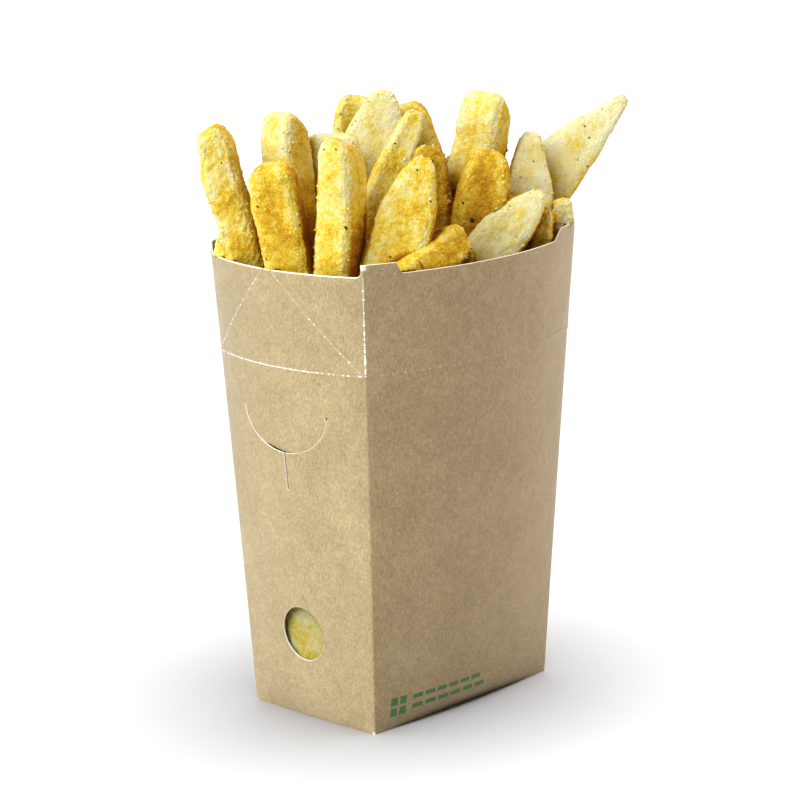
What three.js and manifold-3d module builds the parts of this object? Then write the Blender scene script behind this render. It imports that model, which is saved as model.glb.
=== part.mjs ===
// French fries in a tall folding carton, standing on its base.
// Millimetres, +Z up. The origin is the middle of the base, on the surface that it stands on.
// The wide panels face -Y and +Y, the narrow panels face -X and +X.

import * as THREE from 'three';
import { mergeVertices } from 'three/addons/utils/BufferGeometryUtils.js';
import Module from 'manifold-3d';

// ---- driving dimensions: the carton ---------------------------------------------------------

const BOARD = 0.5;             // thickness of the paperboard
const PANEL_HEIGHT = 145;      // top edge of the narrow panels
const RECESS_HEIGHT = 145.3;   // top edge of the wide panels between their ears
const EAR_HEIGHT = 148.7;      // top of the ears at both ends of a wide panel
const EAR_WIDTH = 13;          // flat top of an ear
const EAR_SLOPE = 4;           // run of the slope from an ear down to the recess
const CURL = 1.6;              // where a narrow panel's edge curls up beside the ears
const EAR_GAP = 0.4;           // the curl stops this far short of the wide panel's board

// Board widths at the foot and at the mouth. A panel bulges outwards by bow at the middle of the
// mouth, and the bulge grows with the height to the power rise, from nothing at the foot.
const WIDE = { foot: 81, mouth: 100, bow: 11.2, rise: 0.38 };
const NARROW = { foot: 52, mouth: 67, bow: 7.8, rise: 0.61 };

const WINDOW_RADIUS = 8.7;     // the round hole in each narrow panel
const WINDOW_HEIGHT = 28.2;
const TAB_HALF_WIDTH = 17.5;   // the half-round cut tab in each narrow panel
const TAB_DEPTH = 13.4;
const TAB_HEIGHT = 100.9;      // where the ends of the cut are
const TAB_TAIL = 12;           // straight cut down from the tab's lowest point
const KERF = 0.5;              // width of both cuts

const WIDE_FACETS = 12;
const NARROW_FACETS = 8;
const ROW_HEIGHTS = [0, 3, 9, 20, 42, 75, 110, EAR_HEIGHT];
const ARC_FACETS = 14;
const WINDOW_FACETS = 28;
const THROUGH = 160;           // length of what cuts right through the carton
const HEADROOM = 10;           // how far above the ears it reaches

// ---- driving dimensions: the heap of chips --------------------------------------------------

const CLEARANCE = 0.4;         // free space between the chips and the board
const CORE_INSET = 3;          // the solid core stays this far inside the board
const CORE_TOP = 128;
const RIM_BAND = 6;            // height of the band along the rim that is kept clear of chips
const FREE = { across: 400, height: 100 };  // the free space above the mouth
const ROOT = 34;               // how far a chip reaches below the mouth
const CORNER = 0.9;            // how square a chip's section is
const UNEVEN = 0.35;           // random unevenness of a chip's surface
const SEED = 4127;

// A chip's end face has this share of the section, it narrows by this power of the distance from
// its end, and its thickness keeps this share where its width goes to nothing.
const END_FACE = 0.35;
const NARROWING_POWER = 0.8;
const THICKNESS_KEPT = 0.65;

// A chip has facet rings at these shares of its rounded length and of its narrowing length.
const ROUND_RINGS = [0, 0.15, 0.5, 1];
const TAPER_RINGS = [0.6, 1];

// How a chip ends: its end closes over the length round, and narrows over the length taper down
// to the share tip of its width. The end face slopes across the chip by the share slant.
const ENDS = {
  square: { round: 3.5, taper: 10, tip: 0.86, slant: 0 },
  broken: { round: 3, taper: 12, tip: 0.72, slant: 0.35 },
  round: { round: 7, taper: 16, tip: 0.8, slant: 0 },
  leaf: { round: 3.5, taper: 17, tip: 0.35, slant: 0 },
  wedge: { round: 3.5, taper: 34, tip: 0.4, slant: 0 },
  blade: { round: 2.5, taper: 34, tip: 0.12, slant: 0 },
};

// Every chip: the point (x, y) where it leaves the mouth, how far its end rises above the mouth,
// how far it leans from upright and to which side, its width and thickness, the side that its
// broad face looks to, and its end. Angles are in degrees, sides count from +X towards +Y.
const CHIPS = [
  // the front row, along the narrow panel
  { x: -51, y: 16, rise: 42, lean: 13, side: 171, width: 12.5, thick: 11, face: 222, end: 'broken' },
  { x: -51, y: -5, rise: 32, lean: 11, side: 172, width: 13, thick: 12, face: 212, end: 'square' },
  { x: -41, y: -15, rise: 40, lean: 4, side: 292, width: 14, thick: 12, face: 208, end: 'round' },
  // the front row, along the wide panel
  { x: -31, y: -25, rise: 32, lean: 22, side: 338, width: 15.5, thick: 9, face: 228, end: 'leaf' },
  { x: -23, y: -33, rise: 5.5, lean: 66, side: 356, width: 12, thick: 11, face: 238, end: 'square' },
  { x: 10, y: -23, rise: 29, lean: 14, side: 347, width: 15, thick: 9, face: 226, end: 'round' },
  { x: 13, y: -30, rise: 15.5, lean: 47, side: 340, width: 15, thick: 10, face: 240, end: 'leaf' },
  { x: 31, y: -32, rise: 9, lean: 14, side: 15, width: 9, thick: 8, face: 226, end: 'square' },
  { x: 43, y: -30, rise: 11, lean: 9, side: 22, width: 8, thick: 8, face: 226, end: 'broken' },
  // the middle rows, which stand highest
  { x: -36, y: 9, rise: 44, lean: 6, side: 71, width: 14.5, thick: 11, face: 214, end: 'broken' },
  { x: -23, y: 4, rise: 37, lean: 6, side: 55, width: 14.5, thick: 10, face: 224, end: 'square' },
  { x: -25, y: -8, rise: 43, lean: 25, side: 343, width: 12, thick: 8, face: 236, end: 'wedge' },
  { x: -8, y: 5, rise: 48, lean: 10, side: 351, width: 16.5, thick: 9, face: 224, end: 'leaf' },
  { x: 5, y: 25, rise: 43, lean: 7, side: 6, width: 14, thick: 9, face: 224, end: 'round' },
  { x: 7, y: -11, rise: 30, lean: 9, side: 74, width: 12.5, thick: 10, face: 226, end: 'round' },
  { x: 27, y: 6, rise: 40.5, lean: 14, side: 145, width: 13, thick: 11, face: 220, end: 'round' },
  { x: 22, y: -9, rise: 45, lean: 12, side: 339, width: 14, thick: 13, face: 210, end: 'square' },
  { x: 36, y: -23, rise: 32, lean: 8, side: 17, width: 14.5, thick: 10, face: 226, end: 'leaf' },
  { x: 39.5, y: -10.5, rise: 40, lean: 45.5, side: 328, width: 20, thick: 8, face: 232, end: 'blade' },
  // the back rows, which stand lower
  { x: -41, y: 25, rise: 1, lean: 6, side: 90, width: 12, thick: 10, face: 200, end: 'broken' },
  { x: -25, y: 24, rise: 17, lean: 5, side: 80, width: 13, thick: 11, face: 120, end: 'square' },
  { x: -28, y: 36, rise: 2, lean: 8, side: 30, width: 12, thick: 9, face: 95, end: 'round' },
  { x: -11, y: 25, rise: 28, lean: 6, side: 100, width: 13, thick: 10, face: 70, end: 'broken' },
  { x: -9, y: 38, rise: 14, lean: 10, side: 85, width: 14, thick: 9, face: 92, end: 'leaf' },
  { x: 8, y: 38, rise: 24, lean: 9, side: 70, width: 12, thick: 12, face: 60, end: 'square' },
  { x: 19, y: 25, rise: 30, lean: 5, side: 40, width: 13, thick: 11, face: 110, end: 'round' },
  { x: 25, y: 36, rise: 21, lean: 13, side: 85, width: 14, thick: 9, face: 80, end: 'broken' },
  { x: 36, y: 24, rise: 25, lean: 10, side: 60, width: 13, thick: 12, face: 50, end: 'square' },
  { x: 39, y: 8, rise: 21, lean: 7, side: 20, width: 12, thick: 11, face: 20, end: 'broken' },
  { x: 49, y: 14, rise: 12, lean: 14, side: 25, width: 13, thick: 9, face: 10, end: 'round' },
  { x: 50, y: 0, rise: 19, lean: 10, side: 350, width: 12, thick: 11, face: 5, end: 'square' },
  { x: 48, y: -17, rise: 13, lean: 9, side: 350, width: 11, thick: 11, face: 350, end: 'broken' },
  // low ones between the others
  { x: 10, y: 8, rise: 29, lean: 4, side: 120, width: 12, thick: 11, face: 140, end: 'square' },
  { x: -13, y: -14, rise: 12, lean: 7, side: 350, width: 12, thick: 11, face: 250, end: 'round' },
  { x: 24, y: -25, rise: 13, lean: 8, side: 30, width: 10, thick: 10, face: 230, end: 'broken' },
  { x: -2, y: -4, rise: 17, lean: 5, side: 200, width: 12, thick: 10, face: 160, end: 'round' },
  { x: -22, y: 15, rise: 21, lean: 4, side: 90, width: 12, thick: 10, face: 190, end: 'broken' },
  { x: -3, y: -27, rise: 4, lean: 10, side: 300, width: 12, thick: 10, face: 250, end: 'square' },
];

// A chip stands behind each round window, against the narrow panel. Its middle is at this height
// and this far to one side of the window, and its top leans to that side by so many degrees.
const WINDOW_CHIP = { length: 46, width: 14, height: 28, aside: 6, lean: 20 };

// ---- tools ----------------------------------------------------------------------------------

const wasm = await Module();
wasm.setup();

const WELD = 1e-3;             // points closer than this are one point
const radians = THREE.MathUtils.degToRad;

function bare(geometry) {
  geometry.deleteAttribute('normal');
  geometry.deleteAttribute('uv');
  return mergeVertices(geometry, WELD);
}

function toSolid(geometry) {
  const merged = bare(geometry);
  return new wasm.Manifold(new wasm.Mesh({
    numProp: 3,
    vertProperties: new Float32Array(merged.attributes.position.array),
    triVerts: new Uint32Array(merged.index.array),
  }));
}

function toGeometry(solid) {
  const mesh = solid.getMesh();
  const geometry = new THREE.BufferGeometry();
  geometry.setAttribute('position', new THREE.BufferAttribute(mesh.vertProperties, 3));
  geometry.setIndex(new THREE.BufferAttribute(mesh.triVerts, 1));
  geometry.computeVertexNormals();
  return geometry;
}

// The largest body of a solid, without loose scraps and without sealed hollows, which are bodies
// of their own, inside out. Welding can pinch off another one, so it goes on until one is left.
function outerBody(solid) {
  const bodies = toSolid(toGeometry(solid)).decompose();
  const largest = bodies.reduce((best, body) => (body.volume() > best.volume() ? body : best));
  return bodies.length === 1 ? largest : outerBody(largest);
}

function seededRandom(seed) {
  let state = seed;
  return () => {
    state = (state * 1664525 + 1013904223) % 4294967296;
    return state / 4294967296;
  };
}

// ---- the carton -----------------------------------------------------------------------------

// The true width, the bulge and the straight chord between the corners of a panel at a height.
function panelAt(panel, z) {
  const share = Math.max(z, 0) / PANEL_HEIGHT;
  const width = panel.foot + (panel.mouth - panel.foot) * share;
  const bulge = panel.bow * share ** panel.rise;
  return { bulge, chord: width - (8 / 3) * bulge ** 2 / width };
}

// A point on the carton's outline at a height, counted round the four panels from the corner
// at -X -Y, drawn in by inset.
const OUTLINE_FACETS = 2 * (WIDE_FACETS + NARROW_FACETS);

function outlinePoint(step, z, inset) {
  const wide = panelAt(WIDE, z);
  const narrow = panelAt(NARROW, z);
  const halfX = wide.chord / 2 - inset;
  const halfY = narrow.chord / 2 - inset;
  const half = WIDE_FACETS + NARROW_FACETS;
  const turn = step % OUTLINE_FACETS >= half ? -1 : 1;
  const local = step % half;
  if (local < WIDE_FACETS) {
    const t = local / WIDE_FACETS - 0.5;
    return [turn * 2 * halfX * t, -turn * (halfY + wide.bulge * (1 - 4 * t * t))];
  }
  const t = (local - WIDE_FACETS) / NARROW_FACETS - 0.5;
  return [turn * (halfX + narrow.bulge * (1 - 4 * t * t)), turn * 2 * halfY * t];
}

// A closed body with the carton's outline: a capped cylinder whose rings take the outline, and
// whose caps keep their middle points.
function loft(heights, inset) {
  const rows = heights.length - 1;
  const geometry = bare(new THREE.CylinderGeometry(1, 1, rows, OUTLINE_FACETS, rows));
  geometry.rotateX(Math.PI / 2);
  const at = geometry.attributes.position;
  for (let i = 0; i < at.count; i += 1) {
    const z = heights[Math.round(at.getZ(i) + rows / 2)];
    const radius = Math.hypot(at.getX(i), at.getY(i));
    if (radius < WELD) {
      at.setXYZ(i, 0, 0, z);
    } else {
      const angle = Math.atan2(at.getY(i), at.getX(i)) / (2 * Math.PI);
      const step = Math.round((angle + 1) * OUTLINE_FACETS) % OUTLINE_FACETS;
      const [x, y] = outlinePoint(step, z, inset);
      at.setXYZ(i, x, y, z);
    }
  }
  return toSolid(geometry);
}

// A flat shape drawn in (across, up) and run through both wide panels, or both narrow ones.
function runThrough(shape, towards) {
  const geometry = new THREE.ExtrudeGeometry(shape, { depth: THROUGH, bevelEnabled: false });
  geometry.translate(0, 0, -THROUGH / 2);
  geometry.rotateX(Math.PI / 2);
  if (towards === 'x') geometry.rotateZ(Math.PI / 2);
  return toSolid(geometry);
}

// What is cut away above a wide panel's recess, between its ears. grow widens the ears.
function recessShape(grow) {
  const top = EAR_HEIGHT + HEADROOM;
  const ears = panelAt(WIDE, EAR_HEIGHT).chord / 2 - EAR_WIDTH - grow;
  const shape = new THREE.Shape();
  shape.moveTo(-ears, top);
  shape.lineTo(-ears, EAR_HEIGHT + grow);
  shape.lineTo(-ears + EAR_SLOPE, RECESS_HEIGHT + grow);
  shape.lineTo(ears - EAR_SLOPE, RECESS_HEIGHT + grow);
  shape.lineTo(ears, EAR_HEIGHT + grow);
  shape.lineTo(ears, top);
  return shape;
}

// What is cut away above a narrow panel. Its edge curls up to the ears at both ends.
function narrowTopShape(grow) {
  const top = EAR_HEIGHT + HEADROOM;
  const end = panelAt(NARROW, EAR_HEIGHT).chord / 2 - BOARD - EAR_GAP - grow;
  const edge = PANEL_HEIGHT + grow;
  const shape = new THREE.Shape();
  shape.moveTo(-end, top);
  shape.lineTo(-end, edge + CURL);
  shape.absarc(-end + CURL, edge + CURL, CURL, Math.PI, 1.5 * Math.PI, false);
  shape.absarc(end - CURL, edge + CURL, CURL, 1.5 * Math.PI, 2 * Math.PI, false);
  shape.lineTo(end, top);
  return shape;
}

// The tab's cut: half an ellipse, KERF wide.
function tabArcShape() {
  const shape = new THREE.Shape();
  shape.absellipse(0, TAB_HEIGHT, TAB_HALF_WIDTH, TAB_DEPTH, Math.PI, 2 * Math.PI, false);
  const inner = new THREE.Path();
  inner.absellipse(0, TAB_HEIGHT, TAB_HALF_WIDTH - KERF, TAB_DEPTH - KERF, 2 * Math.PI, Math.PI, true);
  const points = [...shape.getPoints(ARC_FACETS), ...inner.getPoints(ARC_FACETS)];
  return new THREE.Shape(points);
}

function tabTailShape() {
  const top = TAB_HEIGHT - TAB_DEPTH + KERF / 2;
  const shape = new THREE.Shape();
  shape.moveTo(-KERF / 2, top);
  shape.lineTo(-KERF / 2, top - TAB_TAIL);
  shape.lineTo(KERF / 2, top - TAB_TAIL);
  shape.lineTo(KERF / 2, top);
  return shape;
}

function windowShape() {
  const circle = new THREE.Path();
  circle.absarc(0, WINDOW_HEIGHT, WINDOW_RADIUS, 0, 2 * Math.PI, false);
  return new THREE.Shape(circle.getPoints(WINDOW_FACETS).slice(1));
}

function trimTop(solid, grow) {
  return solid
    .subtract(runThrough(recessShape(grow), 'y'))
    .subtract(runThrough(narrowTopShape(grow), 'x'));
}

function cartonSolid() {
  const hollow = [BOARD, ...ROW_HEIGHTS.slice(1, -1), EAR_HEIGHT + HEADROOM];
  return trimTop(loft(ROW_HEIGHTS, 0).subtract(loft(hollow, BOARD)), 0)
    .subtract(runThrough(windowShape(), 'x'))
    .subtract(runThrough(tabArcShape(), 'x'))
    .subtract(runThrough(tabTailShape(), 'x'));
}

// ---- the heap of chips ----------------------------------------------------------------------

// Upright direction of a chip, the direction its broad face looks to, and its width direction.
function chipFrame(chip) {
  const lean = radians(chip.lean);
  const side = radians(chip.side);
  const face = radians(chip.face);
  const up = new THREE.Vector3(
    Math.sin(lean) * Math.cos(side), Math.sin(lean) * Math.sin(side), Math.cos(lean));
  const out = new THREE.Vector3(Math.cos(face), Math.sin(face), 0);
  out.addScaledVector(up, -out.dot(up)).normalize();
  return { up, out, across: new THREE.Vector3().crossVectors(up, out) };
}

// The share of its full width that a chip has at a distance from its tip, and how far its end
// face has closed there.
function narrowing(end, distance) {
  if (distance >= end.taper) return 1;
  return end.tip + (1 - end.tip) * (distance / end.taper) ** NARROWING_POWER;
}

function closing(end, distance) {
  if (distance >= end.round) return 1;
  return END_FACE + (1 - END_FACE) * Math.sqrt(1 - (1 - distance / end.round) ** 2);
}

// A chip is a box of seven lengths with two facets across each side, moved into its shape.
function chipSolid(chip, random) {
  const end = ENDS[chip.end];
  const { up, out, across } = chipFrame(chip);
  const above = chip.rise / up.z;
  const length = above + ROOT;
  const tip = new THREE.Vector3(chip.x, chip.y, PANEL_HEIGHT).addScaledVector(up, above);
  const rings = [
    ...ROUND_RINGS.map((share) => share * end.round),
    ...TAPER_RINGS.map((share) => share * end.taper),
    (end.taper + length) / 2,
    length,
  ].sort((a, b) => a - b);
  const last = rings.length - 1;
  const geometry = bare(new THREE.BoxGeometry(1, 1, 1, 2, 2, last));
  const at = geometry.attributes.position;
  for (let i = 0; i < at.count; i += 1) {
    const x = at.getX(i);
    const y = at.getY(i);
    const distance = rings[Math.round((0.5 - at.getZ(i)) * last)];
    const share = narrowing(end, distance);
    const thickness = chip.thick * (THICKNESS_KEPT + (1 - THICKNESS_KEPT) * share);
    const section = closing(end, distance) * (x !== 0 && y !== 0 ? CORNER : 1);
    const a = x * section * chip.width * share + UNEVEN * (random() - 0.5);
    const b = y * section * thickness + UNEVEN * (random() - 0.5);
    const slope = end.slant * a * Math.max(0, 1 - distance / end.taper);
    const point = tip.clone().addScaledVector(up, -distance - slope);
    point.addScaledVector(across, a).addScaledVector(out, -b);
    at.setXYZ(i, point.x, point.y, point.z);
  }
  return toSolid(geometry);
}

// The chip that shows in the window of the narrow panel on the side -X (turn 1) or +X (turn -1).
function windowChipSolid(turn) {
  const { length, width, height, aside, lean } = WINDOW_CHIP;
  const geometry = new THREE.BoxGeometry(width, width, length);
  geometry.rotateX(-turn * radians(lean));
  geometry.translate(-turn * panelAt(WIDE, height).chord / 2, turn * aside, height);
  return toSolid(geometry);
}

function heapSolid() {
  const random = seededRandom(SEED);
  const inset = BOARD + CLEARANCE;
  const inside = [inset, ...ROW_HEIGHTS.slice(1, -1), EAR_HEIGHT + CLEARANCE];
  const core = [inset, ...ROW_HEIGHTS.slice(1, -1), CORE_TOP];
  const pieces = [
    loft(core, BOARD + CORE_INSET),
    windowChipSolid(1),
    windowChipSolid(-1),
    ...CHIPS.map((chip) => chipSolid(chip, random)),
  ];
  const heap = pieces.reduce((joined, piece) => joined.add(piece));

  // Inside the carton the heap keeps clear of the board, and above the rim it is free.
  const interior = loft(inside, inset);
  const rim = trimTop(loft([PANEL_HEIGHT - RIM_BAND, EAR_HEIGHT + CLEARANCE], -CLEARANCE), CLEARANCE);
  const above = new THREE.BoxGeometry(FREE.across, FREE.across, FREE.height);
  above.translate(0, 0, PANEL_HEIGHT + CLEARANCE + FREE.height / 2);
  const free = toSolid(above).subtract(rim).add(interior);
  return outerBody(heap.intersect(free));
}

// ---- the object -----------------------------------------------------------------------------

function named(name, solid, material) {
  const mesh = new THREE.Mesh(toGeometry(solid), material);
  mesh.name = name;
  return mesh;
}

const kraft = new THREE.MeshStandardMaterial({ color: 0xb39b72, roughness: 0.9, metalness: 0 });
const fried = new THREE.MeshStandardMaterial({ color: 0xdcb84a, roughness: 0.6, metalness: 0 });

const fries = new THREE.Group();
fries.add(named('carton', cartonSolid(), kraft));
fries.add(named('fries', heapSolid(), fried));

export default fries;
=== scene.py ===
# French fries in a tall folded kraft carton, full of thick-cut fried chips that stand on end.
# Metres, +Z up. The origin is the middle of the base, on the surface that it stands on.
# The wide panels face -Y and +Y, the narrow panels with the window and the cut tab -X and +X.

import math
import random

import bmesh
import bpy
from mathutils import Matrix, Vector
from mathutils.bvhtree import BVHTree


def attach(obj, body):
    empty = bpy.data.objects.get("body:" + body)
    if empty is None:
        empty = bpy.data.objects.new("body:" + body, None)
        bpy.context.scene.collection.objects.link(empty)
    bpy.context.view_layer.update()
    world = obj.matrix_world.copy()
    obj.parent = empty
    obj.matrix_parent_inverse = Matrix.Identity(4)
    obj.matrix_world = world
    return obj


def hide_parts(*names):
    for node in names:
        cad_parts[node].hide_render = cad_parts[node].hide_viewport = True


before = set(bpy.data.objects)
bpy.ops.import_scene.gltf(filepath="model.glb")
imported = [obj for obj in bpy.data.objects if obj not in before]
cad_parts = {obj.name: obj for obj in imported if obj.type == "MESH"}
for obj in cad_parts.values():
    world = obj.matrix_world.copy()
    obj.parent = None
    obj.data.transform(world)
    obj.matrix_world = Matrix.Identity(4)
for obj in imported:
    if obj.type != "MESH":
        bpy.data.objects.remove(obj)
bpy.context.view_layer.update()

MM = 0.001

# ---- sizes of the carton --------------------------------------------------------------------

BOARD = 0.5 * MM
PANEL_HEIGHT = 145 * MM        # top edge of the narrow panels
RECESS_HEIGHT = 145.3 * MM     # top edge of the wide panels between their ears
EAR_HEIGHT = 148.7 * MM
EAR_WIDTHS = (10 * MM, 13 * MM)      # at the -X and the +X end of a wide panel
EAR_SLOPES = (2 * MM, 4 * MM)
EAR_GAP = 0.4 * MM             # a narrow panel's edge stops this far short of the ears
CURL = 1.6 * MM                # radius of that edge's curl up to the ears

# A panel's width at the foot and at the mouth. It bulges by bow at the middle of the mouth, and
# by the height to the power rise below it.
WIDE = {"foot": 81 * MM, "mouth": 100 * MM, "bow": 11.2 * MM, "rise": 0.38}
NARROW = {"foot": 52 * MM, "mouth": 67 * MM, "bow": 7.8 * MM, "rise": 0.61}

WINDOW_RADIUS = 8.7 * MM
WINDOW_HEIGHT = 28.2 * MM
TAB_HALF_WIDTH = 17.5 * MM
TAB_DEPTH = 13.4 * MM
TAB_HEIGHT = 100.9 * MM
TAB_TAIL = 12 * MM
TAB_PUSH = 1.0 * MM            # how far the tab is pushed in where its cut gapes
TAB_GAPE = (3.2 * MM, 87.9 * MM)
TAB_PUSH_REACHES = (9, 7, 5.5, 4, 2.5)     # mm round that point, for one push each
KERF = 0.10 * MM               # width of the cut round the tab
TAIL_KERF = 0.50 * MM

SCORE_HEIGHT = 114.7 * MM      # the score line round all four panels
SCORE_DEPTH = 0.14 * MM
SCORE_HALF_WIDTH = 0.45 * MM
# The slanting score lines of a narrow panel, as (across, height) at both ends.
SCORE_SLANTS = (
    ((31.0 * MM, 116.3 * MM), (2.2 * MM, 144.6 * MM)),
    ((-1.8 * MM, 144.6 * MM), (-30.6 * MM, 115.4 * MM)),
)

FOLD_RADIUS = 1.0 * MM         # of the upright folds below the score line
SHARP_FOLD = 0.3               # the share of it that they have above the score line
RIM_EASE = 0.25 * MM           # how far the cut edge of a narrow panel's top is crushed round
CUT_EASE = 0.10 * MM           # the same of every other cut edge
WIDE_COLUMNS = 20
NARROW_COLUMNS = 14
THROUGH = 160 * MM             # length of a cutter that goes through the whole carton
HEADROOM = 10 * MM             # how far the cutters of the top edges reach above the ears
ROUND_SIDES = 96               # of the window's and the tab's cutters
SLOT_OUTSIDE, SLOT_INSIDE, SLOT_CUT = 0, 1, 2      # the carton's materials
SMOOTH_ANGLE = 35              # degrees: a sharper corner of the board stays sharp
ROW_HEIGHTS = [z * MM for z in (0, 3, 6, 10, 15, 21, 28, 36, 45, 54, 63, 72, 81, 90, 98, 106, 112)]
TOP_ROW_HEIGHTS = [z * MM for z in (118, 124, 130, 136, 141, 145)]

# ---- sizes of the heap ----------------------------------------------------------------------

CORE_INSET = 5.5 * MM
CORE_ROWS = [BOARD + 3.5 * MM, *(z * MM for z in (8, 20, 45, 70, 95, 124))]
CORE_RELIEF = 5 * MM
CORE_FRY = 0.5
CHIP_CLEARANCE = 1.0 * MM      # free space between the chips and the board
KEPT_OUT = 18 * MM             # thickness of the body that the chips are trimmed with
ROOT = 30 * MM                 # how far a chip reaches below the mouth
FIRST_RING = 8                 # how far below the mouth the first ring above a chip's foot is, mm
RING_SPACING = 5.5             # of the rings above it, at most, mm
SEED = 4127

# How a chip ends: it closes over the length round (mm) to the share face of its width there, and
# narrows over the length taper (mm) down to the share tip of its width. The end rises across the
# broad face and through it by slant, and its crust is crumble times as rough as usual.
END_COLUMNS = ("round", "face", "taper", "tip", "slant", "crumble")
ENDS = {
    "square": (3.0, 0.62, 10, 0.90, (0, 0), 1.0),
    "broken": (3.0, 0.55, 12, 0.72, (0.35, 0), 2.0),
    "slanted": (3.0, 0.62, 11, 0.96, (0.05, -0.75), 1.0),
    "blunt": (5.0, 0.50, 9, 0.92, (0, 0), 1.0),
    "shoulder": (5.0, 0.50, 10, 0.88, (-0.3, -0.2), 1.0),
    "round": (6.5, 0.42, 16, 0.84, (0, 0), 1.0),
    "leaf": (3.5, 0.40, 17, 0.34, (0, 0), 1.0),
    "wedge": (3.5, 0.50, 34, 0.42, (0, 0), 1.0),
    "blade": (2.5, 0.50, 34, 0.14, (0, 0), 1.0),
}
NARROWING_POWER = 0.8
THICKNESS_KEPT = 0.65
WOBBLE = 0.2                   # how far a chip's rings are out of line, mm
UNEVEN_WIDTH = (0.975, 1.025)
UNEVEN_THICKNESS = (0.97, 1.03)
UNEVEN_FRY = (-0.04, 0.04)
TURN_STEPS = 8                 # a twist is made in so many steps, and a slant in SLANT_STEPS
SLANT_STEPS = 4
TIP_RINGS = (1, 0.5, 0.15, 0)  # where the rings of a rounded end are, as shares of its length
CHIP_LEVELS = 3                # subdivision of the chips that show
LOW_CHIP_LEVELS = 2

SECTION_CELLS = 4
SECTION_LINE = 1 / SECTION_CELLS     # where its outer lines are before they are moved out
SECTION_EDGE = 0.36            # where the section's outer lines run, as a share of its width
SECTION_CORNER = 0.82
SECTION_RIM = 0.45             # a point further out than this share is on the section's outline
RIDGE_START = 0.2              # where a ridge starts to rise, and over what share of the width
RIDGE_REACH = 0.25
SHADED_FLANK_EDGE = 0.42
SMOOTH_MIDDLE = 0.6            # how much of the crust's relief a chip has in the middle of a face
GAP_REACHES = (2.5, 7)         # how far before the surface others are looked for, mm

# Relief of the crust, mm.
LUMP_RELIEF = 1.1
DENT_RELIEF = 0.4
CRAG_RELIEF = 0.4
GRANULE_RELIEF = 0.35
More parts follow.
